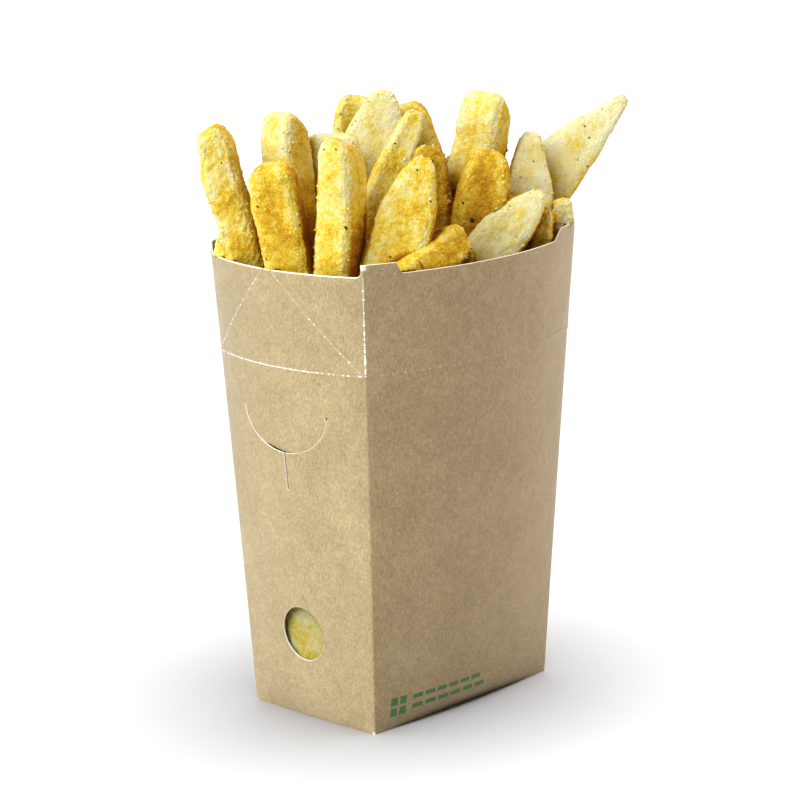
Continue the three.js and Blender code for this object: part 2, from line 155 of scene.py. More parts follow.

# Every chip: where it leaves the mouth (x, y), how far its end rises above the mouth, how far it
# leans and to which side, its width and thickness, the side that its broad face looks to, and its
# end. Millimetres and degrees, sides counted from +X towards +Y. Then how brown it is, 0 for a
# golden one to 1 for a brown one, and less for a pale one; for a few chips that stand in the shade
# of others it is raised as painted shade. Then, where it isn't PLAIN, how far it bows sideways, how
# deep its broad faces are sunk, how far it is twisted from foot to tip, and the share by which it
# is wider halfway up.
COLUMNS = ("x", "y", "rise", "lean", "side", "width", "thick", "face", "end",
           "fry", "bow", "hollow", "twist", "belly")
PLAIN = {"bow": 0.0, "hollow": 0.0, "twist": 0, "belly": 0}
ROWS_OF_CHIPS = {
    "chips_narrow_side": [
        (-47.4, 20.2, 40, 15.5, 171, 11.8, 11, 219, "broken", 0.36, 1.6),
        (-48.4, -2.6, 31.2, 12.5, 172, 14.6, 12, 212, "blunt", 0.62),
        (-41, -15, 37.8, 4, 292, 11.4, 14.4, 198, "shoulder", 0.32, 0.3, -0.03, 0, 0.12),
        (-35.7, 8.6, 41.2, 6, 60, 12.6, 12.6, 188, "slanted", 0.28, -0.3, 0.05),
        (-21.8, 4.6, 35.9, 3, 60, 17.5, 8, 222, "square", 0.0, 0.0, 0.05),
    ],
    "chips_wide_side": [
        (-30.5, -25.4, 32, 22, 338, 16.6, 9, 220, "leaf", 0.42, 0.9, 0.05, 0, 0.12),
        (-22.6, -33.2, 7, 66, 356, 13.5, 11, 232, "round", 0.66, 0.5, 0.05),
        (10, -23, 29, 14, 347, 15.5, 9, 226, "round", 0.82, 0.3, 0.12, 0, 0.08),
        (13, -30, 15.5, 47, 340, 15, 9, 212, "leaf", -0.12, -0.8, 0.0, 0, 0.1),
        (31, -32, 9, 14, 15, 9, 8, 226, "square", 0.35),
        (43, -30, 11, 9, 22, 8, 8, 226, "broken", -0.1),
    ],
    "chips_middle_left": [
        (-24.4, -8.6, 43, 25, 343, 13.4, 7.5, 228, "wedge", 0.46, -0.6, 0.07),
        (-10, 7.2, 46.5, 19, 6, 19.5, 8, 224, "leaf", 0.12, 0.0, -0.03, 0, 0.05),
        (5, 25, 43, 7, 6, 14, 9, 224, "round", 0.45, 0.0, 0.2),
        (7, -11, 30, 9, 74, 12.5, 10, 226, "round", 0.80, 0.0, 0.1),
        (27, 6, 40.5, 14, 145, 13, 11, 220, "round", 0.5, 0.8, 0.2),
    ],
    "chips_middle_right": [
        (20.1, -6.8, 41.3, 17.5, 337, 14.8, 13.4, 194, "slanted", 0.38, 0.4, 0.0, 0, 0.06),
        (36, -23, 31.5, 12, 29, 14.5, 9, 226, "leaf", -0.06, 0.3, 0.0, 0, 0.05),
        (39.5, -10.5, 40, 45.5, 328, 20, 7.5, 212, "blade", 0.04, -1.2),
        (39, 8, 21, 7, 20, 12, 11, 20, "broken", 0.2, 0.0, 0.1),
        (49.5, 0, 17.5, 9, 350, 12, 11, 5, "broken", -0.3),
        (48.4, -17.4, 15, 9, 350, 11, 11, 350, "broken", -1.1),
    ],
    "chips_back_left": [
        (-44.2, 26.2, 7.4, 4, 90, 15, 12, 206, "broken", 0.30),
        (-25, 24, 17, 5, 80, 13, 11, 120, "square", 0.45, 0.3, 0.1, 10),
        (-28, 36, 2, 8, 30, 12, 9, 95, "round", 0.35, 0.0, 0.2, 0, 0.1),
        (-11, 25, 28, 6, 100, 13, 10, 70, "broken", 0.55, -0.4, 0.1, -15),
        (-9, 38, 14, 10, 85, 14, 9, 92, "leaf", 0.3, 0.5, 0.2, 0, 0.1),
        (8, 38, 24, 9, 70, 12, 12, 60, "square", 0.65),
    ],
    "chips_back_right": [
        (19, 25, 30, 5, 40, 13, 11, 110, "round", 0.4, 0.4, 0.15, 20),
        (25, 36, 21, 13, 85, 14, 9, 80, "broken", 0.3, 0.5, 0.2, 0, 0.1),
        (36, 24, 25, 10, 60, 13, 12, 50, "square", 0.55, -0.4),
        (49, 14, 12, 14, 25, 13, 9, 10, "round", 0.35, 0.0, 0.2),
    ],
    "chips_low": [
        (10, 8, 29, 4, 120, 12, 11, 140, "square", 0.7, 0.0, 0.1),
        (-13, -14, 12, 7, 350, 12, 11, 250, "round", 0.7),
        (24, -25, 13, 8, 30, 10, 10, 230, "broken", 0.7),
        (-2, -4, 17, 5, 200, 12, 10, 160, "round", 0.7),
        (-3, -27, 4, 10, 300, 12, 10, 250, "square", 0.7),
    ],
}

CRUMBS = 1600
CRUMB_SIZES = (0.25, 0.65)     # least and greatest radius, mm
CRUMB_STRETCH = (0.7, 1.2)
CRUMB_SUNK = 0.2               # the share of its radius that a crumb is sunk in
CRUMB_FRY = 0.1
CRUMB_RIDGES = (0.2, 0.9)      # the ridge that a crumb needs to stick to is drawn from this range
CRUMBS_BELOW = 2 * MM          # how far below the mouth crumbs still stick

# Scorched specks: the chip's group and number, how far across and how far down from its end, length
# and width, mm. They are pressed on from the side SPECK_SIDE.
SPECK_SIDE = 223
SPECK_TURNS = (-1.3, -0.5)     # radians, from level
SPECK_THICKNESS = 0.3 * MM
SPECK_UNEVENNESS = 0.35        # as a share of its size
SPECK_REACH = 12 * MM          # how far before a chip they start
SPECKS = (
    ("chips_narrow_side", 1, -5.6, 10.4, 1.3, 0.5),
    ("chips_narrow_side", 1, 5.5, 17.9, 1.0, 0.5),
    ("chips_narrow_side", 1, -6.5, 27.0, 1.2, 0.4),
    ("chips_narrow_side", 2, 2.0, 24.2, 1.8, 0.8),
    ("chips_narrow_side", 2, -2.1, 1.2, 0.8, 0.4),
    ("chips_wide_side", 0, -1.1, 4.6, 0.7, 0.6),
    ("chips_wide_side", 0, 5.6, 12.1, 1.0, 0.5),
    ("chips_wide_side", 0, -0.3, 31.5, 0.9, 0.5),
    ("chips_wide_side", 1, -1.8, 21.7, 3.0, 0.35),
    ("chips_wide_side", 2, -5.4, 17.2, 1.3, 0.6),
    ("chips_wide_side", 2, -1.6, 21.9, 1.8, 1.4),
    ("chips_middle_left", 0, -2.7, 11.8, 0.9, 0.5),
    ("chips_middle_left", 3, 1.3, 4.9, 1.0, 0.5),
    ("chips_middle_right", 1, 1.2, 9.3, 0.6, 0.5),
    ("chips_middle_right", 2, -3.7, 15.9, 0.9, 0.4),
    ("chips_middle_right", 2, 5.6, 24.6, 0.6, 0.6),
    ("chips_middle_right", 2, 7.0, 36.7, 0.9, 0.5),
    ("chips_back_left", 4, 1.0, 9.0, 1.2, 0.6),
    ("chips_back_right", 1, -2.0, 12.0, 1.4, 0.5),
)

# A chip stands behind each window, its middle this far aside, leaning to that side.
WINDOW_CHIP = {"length": 46, "foot": 12, "width": 20, "thick": 12, "aside": 4.5, "lean": 28, "behind": 1.6,
               "fry": 0.0, "hollow": 0.05}


# ---- working by hand ------------------------------------------------------------------------

def only(piece):
    """Select one piece, and make it the active one."""
    bpy.ops.object.select_all(action="DESELECT")
    piece.select_set(True)
    bpy.context.view_layer.objects.active = piece


def edit(piece, mode="VERT"):
    only(piece)
    bpy.ops.object.mode_set(mode="EDIT")
    bpy.ops.mesh.select_mode(type=mode)


def leave():
    bpy.ops.object.mode_set(mode="OBJECT")


def pick_all():
    bpy.ops.mesh.select_all(action="SELECT")


def face_outwards():
    """Turn all faces outwards, and leave edit mode."""
    pick_all()
    bpy.ops.mesh.normals_make_consistent(inside=False)
    leave()


def pick(piece, test, kind="verts"):
    """Select the points, edges or faces that pass a test, and nothing else."""
    mesh = bmesh.from_edit_mesh(piece.data)
    for face in mesh.faces:
        face.select = False
    for edge in mesh.edges:
        edge.select = False
    for vertex in mesh.verts:
        vertex.select = False
    for element in getattr(mesh, kind):
        if test(element):
            element.select_set(True)
    mesh.select_flush_mode()
    bmesh.update_edit_mesh(piece.data)


def added(name):
    """The primitive that was just added, under its name."""
    piece = bpy.context.object
    piece.name = name
    piece.data.name = name
    return piece


def modify(piece, kind, **settings):
    """Give a piece a modifier and apply it."""
    only(piece)
    modifier = piece.modifiers.new(kind.lower(), kind)
    for name, value in settings.items():
        setattr(modifier, name, value)
    bpy.ops.object.modifier_apply(modifier=modifier.name)


def settle(piece):
    """Put a piece's place into its mesh, so that its object is at the origin."""
    only(piece)
    bpy.ops.object.transform_apply(location=True, rotation=True, scale=True)


def join(name, pieces):
    only(pieces[0])
    for piece in pieces:
        piece.select_set(True)
    bpy.ops.object.join()
    pieces[0].name = name
    pieces[0].data.name = name
    return pieces[0]


def near(a, b, reach=1e-6):
    return abs(a - b) < reach


def extrude(way):
    """Extrude what is selected along a vector."""
    bpy.ops.mesh.extrude_region_move(TRANSFORM_OT_translate={"value": way})


def resize(factors, centre=(0, 0, 0)):
    """Scale what is selected along each axis, about a centre."""
    bpy.ops.transform.resize(value=factors, center_override=centre)


def mark(piece, name, values):
    """Store one number for each point of a piece, for its material."""
    piece.data.attributes.new(name, "FLOAT", "POINT").data.foreach_set("value", values)


# ---- materials ------------------------------------------------------------------------------

class Finish:
    """A material whose nodes are added one by one."""

    def __init__(self, name):
        self.material = bpy.data.materials.new(name)
        self.material.use_nodes = True
        self.tree = self.material.node_tree
        self.tree.nodes.clear()
        self.place = self.add("TexCoord").outputs["Object"]

    def add(self, kind, inputs=None, **settings):
        node = self.tree.nodes.new("ShaderNode" + kind)
        for name, value in settings.items():
            setattr(node, name, value)
        for key, value in (inputs or {}).items():
            if isinstance(value, bpy.types.NodeSocket):
                self.tree.links.new(value, node.inputs[key])
            else:
                node.inputs[key].default_value = value
        return node

    def maths(self, operation, *values):
        return self.add("Math", dict(enumerate(values)), operation=operation).outputs[0]

    def vectors(self, operation, a, b):
        node = self.add("VectorMath", {0: a, 1: b}, operation=operation)
        return node.outputs["Value" if operation == "DOT_PRODUCT" else "Vector"]

    def rise(self, value, low, high, to_low=0.0, to_high=1.0):
        """Goes smoothly from to_low to to_high as value goes from low to high."""
        inputs = {"Value": value, "From Min": low, "From Max": high, "To Min": to_low, "To Max": to_high}
        return self.add("MapRange", inputs, interpolation_type="SMOOTHSTEP").outputs["Result"]

    def noise(self, size, detail=2.0, roughness=0.5, stretch=None):
        """Noise from 0 to 1 whose lumps are about size metres across."""
        place = self.place
        if stretch:
            place = self.add("Mapping", {"Vector": place, "Scale": stretch}).outputs["Vector"]
        inputs = {"Vector": place, "Scale": 1 / size, "Detail": detail, "Roughness": roughness}
        return self.add("TexNoise", inputs).outputs["Fac"]

    def noise_along(self, value, size):
        """Noise from 0 to 1 along a value, which changes over about size."""
        inputs = {"W": value, "Scale": 1 / size, "Detail": 1.0}
        return self.add("TexNoise", inputs, noise_dimensions="1D").outputs["Fac"]

    def cells(self, size):
        return self.add("TexVoronoi", {"Vector": self.place, "Scale": 1 / size})

    def blend(self, factor, a, b):
        return self.add("Mix", {0: factor, 6: a, 7: b}, data_type="RGBA").outputs[2]

    def ramp(self, value, stops):
        """The colour that runs through stops, each a position from 0 to 1 and a colour."""
        node = self.add("ValToRGB", {"Fac": value})
        elements = node.color_ramp.elements
        elements[0].position = stops[0][0]
        elements[1].position = stops[-1][0]
        for position, _ in stops[1:-1]:
            elements.new(position)
        for element, (_, colour) in zip(elements, stops):
            element.color = colour
        return node.outputs["Color"]

    def attribute(self, name):
        return self.add("Attribute", attribute_name=name).outputs["Fac"]

    def bump(self, height, distance, normal=None):
        inputs = {"Height": height, "Distance": distance, "Strength": 1.0}
        if normal:
            inputs["Normal"] = normal
        return self.add("Bump", inputs).outputs["Normal"]

    def surface(self, inputs):
        shader = self.add("BsdfPrincipled", inputs)
        self.add("OutputMaterial", {"Surface": shader.outputs["BSDF"]})


KRAFT_STOPS = (
    (0.36, (0.300, 0.212, 0.102, 1)),
    (0.50, (0.416, 0.311, 0.163, 1)),
    (0.66, (0.556, 0.442, 0.256, 1)),
)
CUT_BOARD = (0.900, 0.860, 0.760, 1)
CUT_BOARD_DEEP = (0.80, 0.70, 0.54, 1)
PRINT_GREEN = (0.065, 0.205, 0.055, 1)


def kraft_colour(finish):
    """The colour of unbleached board and its tone: soft clouds, fine speckle and upright fibres."""
    clouds = finish.noise(16 * MM, 2)
    mottle = finish.noise(3.5 * MM, 2)
    speckle = finish.noise(0.75 * MM, 3, 0.75)
    fibres = finish.noise(0.55 * MM, 2, 0.6, stretch=(1.6, 1.6, 0.35))
    tone = 0.0
    for part, weight in ((clouds, 0.14), (mottle, 0.12), (speckle, 0.42), (fibres, 0.32)):
        tone = finish.maths("MULTIPLY_ADD", part, weight, tone)
    return finish.ramp(tone, KRAFT_STOPS), tone


def kraft_inside_material():
    finish = Finish("kraft_inside")
    colour, tone = kraft_colour(finish)
    finish.surface({"Base Color": colour, "Roughness": 0.75, "Normal": finish.bump(tone, 0.06 * MM)})
    return finish.material


def cut_board_material():
    finish = Finish("cut_board")
    layers = finish.noise(0.5 * MM, 2)
    colour = finish.blend(layers, CUT_BOARD, CUT_BOARD_DEEP)
    finish.surface({"Base Color": colour, "Roughness": 0.85, "Normal": finish.bump(layers, 0.1 * MM)})
    return finish.material


def panel_places(finish):
    """From the panels' UV map: how far across, how high and how far from a fold (mm), and if wide."""
    uv = finish.add("UVMap", uv_map="panels").outputs["UV"]
    parts = finish.add("SeparateXYZ", {"Vector": uv})
    is_wide = finish.maths("GREATER_THAN", parts.outputs["X"], 1.5)
    share = finish.maths("MULTIPLY_ADD", is_wide, -2.0, parts.outputs["X"])
    share = finish.maths("SUBTRACT", share, 0.5)
    height = finish.maths("MULTIPLY", parts.outputs["Y"], PANEL_HEIGHT / MM)
    widths = []
    for panel in (NARROW, WIDE):
        grown = (panel["mouth"] - panel["foot"]) / MM
        widths.append(finish.maths("MULTIPLY_ADD", parts.outputs["Y"], grown, panel["foot"] / MM))
    width = finish.add("Mix", {0: is_wide, 2: widths[0], 3: widths[1]}).outputs[0]
    across = finish.maths("MULTIPLY", share, width)
    from_fold = finish.maths("ABSOLUTE", across)
    from_fold = finish.maths("SUBTRACT", finish.maths("MULTIPLY", width, 0.5), from_fold)
    return across, height, from_fold, is_wide


def both(finish, *masks):
    result = masks[0]
    for mask in masks[1:]:
        result = finish.maths("MULTIPLY", result, mask)
    return result


def either(finish, *masks):
    result = masks[0]
    for mask in masks[1:]:
        result = finish.maths("MAXIMUM", result, mask)
    return result


def between(finish, value, low, high, soft):
    """1 between low and high, and 0 outside."""
    start = finish.rise(value, low - soft, low + soft)
    end = finish.rise(value, high - soft, high + soft, 1.0, 0.0)
    return both(finish, start, end)


def cracked_line(finish, across, height, start, end, half_width, faint, rare=0.52, whole=None):
    """A white crack from start to end (mm): faint with brighter beads, and unbroken over whole."""
    (ax, ay), (bx, by) = start, end
    length = math.hypot(bx - ax, by - ay)
    along_x, along_y = (bx - ax) / length, (by - ay) / length
    place = finish.add("CombineXYZ", {"X": across, "Y": height}).outputs["Vector"]
    place = finish.vectors("SUBTRACT", place, (ax, ay, 0))
    along = finish.vectors("DOT_PRODUCT", place, (along_x, along_y, 0))
    aside = finish.vectors("DOT_PRODUCT", place, (-along_y, along_x, 0))
    wander = finish.maths("MULTIPLY_ADD", finish.noise(1.5 * MM, 2), 0.24, -0.12)
    off = finish.maths("ABSOLUTE", finish.maths("ADD", aside, wander))
    bead = finish.rise(finish.noise_along(finish.maths("ADD", along, ax), 1.25), rare, rare + 0.08)
    strength = either(finish, bead, faint)
    if whole:
        strength = either(finish, strength, between(finish, along, *whole, 1.5))
    width = finish.maths("MULTIPLY_ADD", bead, 0.8 * half_width, 0.7 * half_width)
    thin = finish.rise(finish.maths("DIVIDE", off, width), 0.5, 1.3, 1.0, 0.0)
    return both(finish, thin, strength, between(finish, along, 0.0, length, 0.3))


# The level cracks on the score line: where they start and end, mm across a panel. The narrow
# panel's is unbroken between two distances from its start. The dashes along the folds thin out
# from the lower to the upper of DASH_HEIGHTS.
NARROW_CRACK = (30.2, -31.7)
NARROW_CRACK_WHOLE = (5, 47)
WIDE_CRACK = (-45, 17)
DASH_HEIGHTS = (118.0, 140.0)


def cracked_white(finish, across, height, from_fold, is_wide):
    """The mask of all bared white fibres: score lines, folds above them, and worn corners."""
    is_narrow = finish.maths("SUBTRACT", 1.0, is_wide)
    score = SCORE_HEIGHT / MM
    start, end = ((place, score) for place in NARROW_CRACK)
    level = cracked_line(finish, across, height, start, end, 0.19, 0.15, whole=NARROW_CRACK_WHOLE)
    white = both(finish, level, 0.92, is_narrow)
    for start, end in SCORE_SLANTS:
        start = (start[0] / MM, start[1] / MM)
        end = (end[0] / MM, end[1] / MM)
        slant = cracked_line(finish, across, height, start, end, 0.17, 0.32, rare=0.60)
        white = either(finish, white, both(finish, slant, 0.9, is_narrow))
    start, end = ((place, score) for place in WIDE_CRACK)
    level = cracked_line(finish, across, height, start, end, 0.15, 0.10, rare=0.58)
    white = either(finish, white, both(finish, level, 0.45, is_wide))

    # dashes along the folds above the score line, closer together lower down
    gap = finish.rise(height, *DASH_HEIGHTS, 0.42, 0.56)
    dash = finish.maths("SUBTRACT", finish.noise_along(height, 1.3), gap)
    dash = finish.rise(dash, 0.0, 0.08)
    reach = finish.maths("MULTIPLY_ADD", finish.noise(0.9 * MM, 2), 0.5, 0.06)
    edge = finish.rise(finish.maths("SUBTRACT", from_fold, reach), -0.08, 0.08, 1.0, 0.0)
    crease = both(finish, finish.rise(from_fold, 0.08, 0.26, 1.0, 0.0), 0.45)
    upper = between(finish, height, score, PANEL_HEIGHT / MM, 0.3)
    white = either(finish, white, both(finish, either(finish, both(finish, edge, dash), crease), upper))

    # worn fibres on the corners of the foot and of the ears
    crumble = finish.noise(1.1 * MM, 2, 0.6)
    worn = both(finish, finish.rise(from_fold, 0.4, 1.2, 1.0, 0.0), finish.rise(crumble, 0.42, 0.6))
    worn = both(finish, worn, finish.rise(height, 0.2, 1.6, 0.8, 0.0))
    ear = both(finish, finish.rise(from_fold, 0.6, 1.5, 1.0, 0.0), finish.rise(height, 146.6, 147.6))
    return either(finish, white, worn, ear)


def printed_kraft_material():
    """The outside of the carton: kraft with cracked white score lines and a small plain print."""
    finish = Finish("kraft_outside")
    colour, tone = kraft_colour(finish)
    across, height, from_fold, is_wide = panel_places(finish)
    white = cracked_white(finish, across, height, from_fold, is_wide)
    ink = both(finish, plain_print(finish, across, height), is_wide)
    ink = both(finish, ink, finish.rise(finish.noise(0.35 * MM, 1), 0.15, 0.4, 0.75, 1.0))
    colour = finish.blend(ink, colour, PRINT_GREEN)
    colour = finish.blend(white, colour, CUT_BOARD)
    rough = finish.rise(tone, 0.3, 0.7, 0.60, 0.76)
    relief = finish.bump(tone, 0.05 * MM)
    relief = finish.bump(white, 0.06 * MM, normal=relief)
    finish.surface({
        "Base Color": colour,
        "Roughness": rough,
        "Normal": relief,
        "Sheen Weight": 0.7,
        "Sheen Roughness": 0.4,
    })
    return finish.material


# The print low on a wide panel: a block of four small squares, and two rows of bars, each with its
# height, its start and end across and the pitch of its bars. All in mm.
PRINT_BLOCK = {"across": -31.6, "height": 7.4, "half": 3.1, "gap": 0.45}
PRINT_ROWS = ((9.3, -26.0, 3.6, 5.1), (6.1, -26.0, 6.2, 5.55))
PRINT_ROW_HALF_HEIGHT = 0.75
PRINT_BAR_SHARE = 0.80
PRINT_BAR_EDGE = 0.02
PRINT_EDGE = 0.12


def plain_print(finish, across, height):
    x, z = PRINT_BLOCK["across"], PRINT_BLOCK["height"]
    half, gap = PRINT_BLOCK["half"], PRINT_BLOCK["gap"]
    aside = finish.maths("ABSOLUTE", finish.maths("SUBTRACT", across, x))
    above = finish.maths("ABSOLUTE", finish.maths("SUBTRACT", height, z))
    block = both(finish, between(finish, aside, gap, half, PRINT_EDGE),
                 between(finish, above, gap, half, PRINT_EDGE))
    for level, start, end, pitch in PRINT_ROWS:
        steps = finish.maths("DIVIDE", finish.maths("SUBTRACT", across, start), pitch)
        bar = finish.maths("FRACT", steps)
        bar = finish.rise(bar, PRINT_BAR_SHARE - PRINT_BAR_EDGE, PRINT_BAR_SHARE + PRINT_BAR_EDGE, 1.0, 0.0)
        low, high = level - PRINT_ROW_HALF_HEIGHT, level + PRINT_ROW_HALF_HEIGHT
        row = between(finish, height, low, high, PRINT_EDGE)
        row = both(finish, row, bar, between(finish, across, start, end, PRINT_EDGE))
        block = either(finish, block, row)
    return block


CRUST_STOPS = (
    (0.00, (0.780, 0.715, 0.450, 1)),
    (0.18, (0.765, 0.665, 0.320, 1)),
    (0.36, (0.745, 0.585, 0.125, 1)),
    (0.50, (0.705, 0.480, 0.034, 1)),
    (0.66, (0.595, 0.348, 0.022, 1)),
    (0.85, (0.465, 0.220, 0.020, 1)),
    (1.00, (0.320, 0.120, 0.008, 1)),
)
SCORCH = (0.030, 0.016, 0.006, 1)
SCORCH_PALE = (0.085, 0.045, 0.014, 1)
FLOOR_GREYS = ((0.45, 0.45, 0.45, 1), (0.46, 0.46, 0.46, 1))


def crust_tone(finish):
    """How brown the crust is, from 0 to 1, with the noises that make it uneven, and with painted shade
    lower down, on one flank and in the gaps.
    """
    patches = finish.rise(finish.noise(8 * MM, 3, 0.5), 0.32, 0.68, -0.5, 0.5)
    mottle = finish.rise(finish.noise(2.0 * MM, 3, 0.6), 0.30, 0.70, -0.5, 0.5)
    fine = finish.rise(finish.noise(0.6 * MM, 2, 0.6), 0.30, 0.70, -0.5, 0.5)
    cells = finish.cells(0.9 * MM)
    chance = finish.add("SeparateColor", {"Color": cells.outputs["Color"]}).outputs[0]
    granule = both(finish, finish.rise(cells.outputs["Distance"], 0.0, 0.60, 1.0, 0.0),
                   finish.rise(chance, 0.10, 0.60))
    ridge = finish.attribute("ridge")
    grown = finish.rise(finish.maths("MULTIPLY_ADD", patches, 0.6, ridge), -0.1, 0.6, 0.3, 1.0)
    granule = both(finish, granule, grown)
    height = finish.add("SeparateXYZ", {"Vector": finish.place}).outputs["Z"]
    # painted shade: the crust is browner towards the mouth, where the chips stand close and shade each
    # other
    low = finish.rise(height, PANEL_HEIGHT - 10 * MM, PANEL_HEIGHT + 40 * MM, 1.0, 0.0)
    # painted shade on one flank of each chip, the right-hand one seen from its broad face, deepest near the
    # mouth
    shaded_flank = finish.attribute("shaded_flank")
    low_shaded_flank = both(finish, shaded_flank, finish.rise(height, 140 * MM, 172 * MM, 1.0, 0.0))
    # painted shade in the gaps, where other chips stand close before the surface
    gap = finish.rise(finish.attribute("gap_shade"), 0.25, 0.95)
    parts = ((finish.attribute("fry"), 0.55), (patches, 0.22), (mottle, 0.18), (fine, 0.18), (low, 0.18),
             (shaded_flank, 0.15), (low_shaded_flank, 0.52), (ridge, -0.18), (granule, -0.32), (gap, 0.52))
    tone = 0.17
    for part, weight in parts:
        tone = finish.maths("MULTIPLY_ADD", part, weight, tone)
    return tone, mottle, fine, granule


def crust_material(name, depth, shade_kept=1.0):
    """Fried potato: pale granular edges, golden flats and a few flecks.

    Depth is how much of the light enters it, and shade_kept the share of its brightness that it keeps:
    below 1 it is the same crust, darkened as painted shade.
    """
    finish = Finish(name)
    tone, mottle, fine, granule = crust_tone(finish)
    stops = [(place, (*(share * shade_kept for share in shade[:3]), 1)) for place, shade in CRUST_STOPS]
    colour = finish.ramp(tone, stops)

    flecks = finish.cells(5.5 * MM)
    dot = finish.rise(flecks.outputs["Distance"], 0.035, 0.075, 1.0, 0.0)
    rare = finish.add("SeparateColor", {"Color": flecks.outputs["Color"]}).outputs[1]
    dot = both(finish, dot, finish.rise(rare, 0.86, 0.90))
    colour = finish.blend(dot, colour, SCORCH)

    relief = finish.bump(fine, 0.05 * MM)
    relief = finish.bump(mottle, 0.12 * MM, normal=relief)
    relief = finish.bump(granule, 0.14 * MM, normal=relief)
    rough = finish.rise(mottle, -0.3, 0.3, 0.45, 0.62)
    finish.surface({
        "Base Color": colour,
        "Roughness": rough,
        "Normal": relief,
        "Specular IOR Level": 0.14,
        "Subsurface Weight": depth,
        "Subsurface Radius": (1.0, 0.60, 0.20),
        "Subsurface Scale": 2.2 * MM,
    })
    return finish.material


def scorch_material():
    finish = Finish("scorched_fleck")
    shade = finish.noise(0.4 * MM, 2)
    colour = finish.blend(shade, SCORCH, SCORCH_PALE)
    finish.surface({
        "Base Color": colour,
        "Roughness": 0.7,
        "Normal": finish.bump(shade, 0.1 * MM),
        "Specular IOR Level": 0.2,
    })
    return finish.material


def floor_material():
    finish = Finish("pale_floor")
    shade = finish.noise(0.4, 1)
    colour = finish.blend(shade, *FLOOR_GREYS)
    finish.surface({"Base Color": colour, "Roughness": 0.9})
    return finish.material


KRAFT_OUTSIDE = printed_kraft_material()
KRAFT_INSIDE = kraft_inside_material()
CUT_EDGE = cut_board_material()
CRUST = crust_material("fried_crust", 0.5)
CRUMB_CRUST = crust_material("crumb_crust", 0.0)
# the chips behind the windows: the same crust, darkened as painted shade for the dim inside of the carton
SHADED_CRUST = crust_material("shaded_crust", 0.4, shade_kept=0.58)
SCORCHED = scorch_material()


# ---- the carton -----------------------------------------------------------------------------

def panel_at(panel, z):
    """A panel's bulge and the straight chord between its corners at a height."""
    share = max(z, 0) / PANEL_HEIGHT
    width = panel["foot"] + (panel["mouth"] - panel["foot"]) * share
    bulge = panel["bow"] * share ** panel["rise"]
    # a shallow arc is longer than its chord by 8/3 of its bulge squared over its length
    return bulge, width - 8 / 3 * bulge ** 2 / width


def foot_plate(name, inset):
    """A grid of the foot's size, drawn in by inset, on the floor and in edit mode."""
    bpy.ops.mesh.primitive_grid_add(x_subdivisions=WIDE_COLUMNS, y_subdivisions=NARROW_COLUMNS, size=1)
    plate = added(name)
    edit(plate)
    pick_all()
    size = (WIDE["foot"] - 2 * inset, NARROW["foot"] - 2 * inset, 1)
    resize(size)
    return plate


def raise_rows(heights):
    """Extrude what is selected from one height up to the next."""
    for low, high in zip(heights, heights[1:]):
        extrude((0, 0, high - low))


def shape_rows(body, heights, inset):
    """Spread each row of a straight body to the chords, and bulge it column by column."""
    half_x = WIDE["foot"] / 2 - inset
    half_y = NARROW["foot"] / 2 - inset
    for z in heights:
        wide_bulge, wide_chord = panel_at(WIDE, z)
        narrow_bulge, narrow_chord = panel_at(NARROW, z)
        spread_x = (wide_chord / 2 - inset) / half_x
        spread_y = (narrow_chord / 2 - inset) / half_y
        centre = (0, 0, z)
        pick(body, lambda v: near(v.co.z, z))
        resize((spread_x, spread_y, 1), centre)
        wall_x = half_x * spread_x
        wall_y = half_y * spread_y
        for column in range(WIDE_COLUMNS // 2):
            t = column / WIDE_COLUMNS
            grown = 1 + wide_bulge * (1 - 4 * t * t) / wall_y
            x = 2 * t * wall_x
            pick(body, lambda v: near(v.co.z, z) and near(abs(v.co.x), x) and near(abs(v.co.y), wall_y))
            resize((1, grown, 1), centre)
        for column in range(NARROW_COLUMNS // 2):
            t = column / NARROW_COLUMNS
            grown = 1 + narrow_bulge * (1 - 4 * t * t) / wall_x
            y = 2 * t * wall_y
            pick(body, lambda v: near(v.co.z, z) and near(abs(v.co.y), y) and near(abs(v.co.x), wall_x))
            resize((grown, 1, 1), centre)


def on_fold(vertex):
    """Whether a point is on one of the four upright folds."""
    _, wide_chord = panel_at(WIDE, vertex.co.z)
    _, narrow_chord = panel_at(NARROW, vertex.co.z)
    return near(abs(vertex.co.x), wide_chord / 2) and near(abs(vertex.co.y), narrow_chord / 2)


def press_level_score(wall):
    pick(wall, lambda v: near(v.co.z, SCORE_HEIGHT))
    bpy.ops.transform.shrink_fatten(value=-SCORE_DEPTH)


def press_slanting_scores(wall):
    """Cut each slanting line into both narrow panels as a narrow strip, and press its middle in."""
    edge_x = WIDE["foot"] / 2
    for turn in (1, -1):
        for start, end in SCORE_SLANTS:
            run = Vector((0, turn * (end[0] - start[0]), end[1] - start[1])).normalized()
            aside = Vector((0, -run.z, run.y))
            middle = Vector((0, turn * start[0], start[1]))

            def inside(point):
                return -turn * point.x > edge_x and SCORE_HEIGHT < point.z < PANEL_HEIGHT

            for off in (-2, -1, 0, 1, 2):
                pick(wall, lambda f: inside(f.calc_center_median()) and abs(f.normal.x) > 0.6, "faces")
                place = middle + aside * off * SCORE_HALF_WIDTH
                bpy.ops.mesh.bisect(plane_co=place, plane_no=aside)
            pick(wall, lambda v: inside(v.co) and near((v.co - middle).dot(aside), 0, 1e-5))
            bpy.ops.transform.shrink_fatten(value=-SCORE_DEPTH)


def cut_with(body, cutter):
    modify(body, "BOOLEAN", object=cutter, operation="DIFFERENCE", solver="EXACT", material_mode="TRANSFER")
    bpy.data.objects.remove(cutter)


def carton_cutters():
    """Bodies for all that is cut out of the carton's walls."""
    cutters = [recess_cutter(), narrow_top_cutter(), window_cutter(), tab_cutter(), tail_cutter()]
    for cutter in cutters:
        cutter.data.materials.append(CUT_EDGE)
    return cutters


